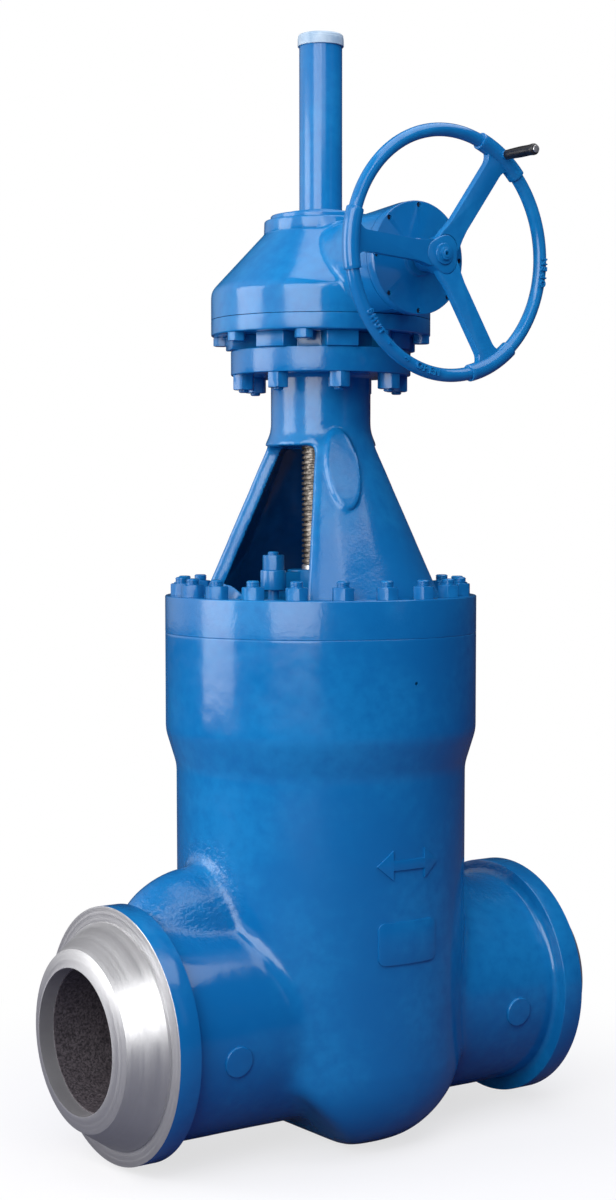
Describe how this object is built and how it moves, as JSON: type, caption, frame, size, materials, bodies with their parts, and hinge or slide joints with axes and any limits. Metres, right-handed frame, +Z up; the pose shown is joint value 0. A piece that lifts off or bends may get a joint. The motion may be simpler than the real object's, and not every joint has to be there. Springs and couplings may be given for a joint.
{
  "type": "pressure seal gate valve",
  "caption": "Large cast-steel gate valve with butt weld ends, conical yoke, bevel gear operator, handwheel and stem protector tube.",
  "frame": {"origin": "centre of the left weld end's root face, on the pipe axis", "axes": "+X along the pipe from the left weld end to the right one, +Z up along the stem, -Y towards the handwheel"},
  "size_m": [1.664, 1.1932, 3.1926],
  "materials": {
    "blue_enamel": "gloss",
    "machined_steel": "turned",
    "dark_casting": "rough cast",
    "thread_steel": "oiled",
    "graphite": "matt",
    "bronze": "turned",
    "dark_screw": "satin",
    "ivory_cap": "satin",
    "black_grip": "gloss"
  },
  "bodies": {
    "valve": {"body": "blue_enamel", "seat_ring_left": "machined_steel", "seat_ring_right": "machined_steel", "bonnet": "dark_casting", "seal_ring": "graphite", "bonnet_retainer": "blue_enamel", "packing": "graphite", "gland_flange": "blue_enamel", "gland_studs": "blue_enamel", "gland_nuts": "blue_enamel", "yoke": "blue_enamel", "yoke_studs": "blue_enamel", "yoke_nuts": "blue_enamel", "flange_studs": "blue_enamel", "flange_nuts": "blue_enamel", "adapter": "blue_enamel", "stem_nut": "bronze", "housing_base": "blue_enamel", "housing_bolts": "blue_enamel", "gear_housing": "blue_enamel", "input_housing": "blue_enamel", "input_cover": "blue_enamel", "cover_screws": "dark_screw", "top_cover": "blue_enamel", "stem_tube": "blue_enamel", "tube_cap": "ivory_cap"},
    "stem": {"stem": "thread_steel", "gate": "dark_casting"},
    "handwheel": {"input_shaft": "machined_steel", "handwheel_rim": "blue_enamel", "handwheel_spokes": "blue_enamel", "handwheel_hub": "blue_enamel", "hub_nut": "blue_enamel", "crank_pin": "machined_steel"},
    "grip": {"crank_grip": "black_grip"}
  },
  "joints": [
    {"name": "stem_lift", "type": "slide", "parent": "valve", "child": "stem", "axis": [0, 0, 1], "range_m": [0, 0.445]},
    {"name": "handwheel_turn", "type": "hinge", "parent": "valve", "child": "handwheel", "pos_m": [0.832, -0.586, 2.144], "axis": [0, -1, 0], "range_deg": [0, 42720]},
    {"name": "grip_spin", "type": "hinge", "parent": "handwheel", "child": "grip", "pos_m": [1.00901, -0.586, 2.41657], "axis": [0, -1, 0], "continuous": true}
  ],
  "couplings": [
    {"joint": "stem_lift", "follows": "handwheel_turn", "m_per_rad": 0.0005968}
  ]
}
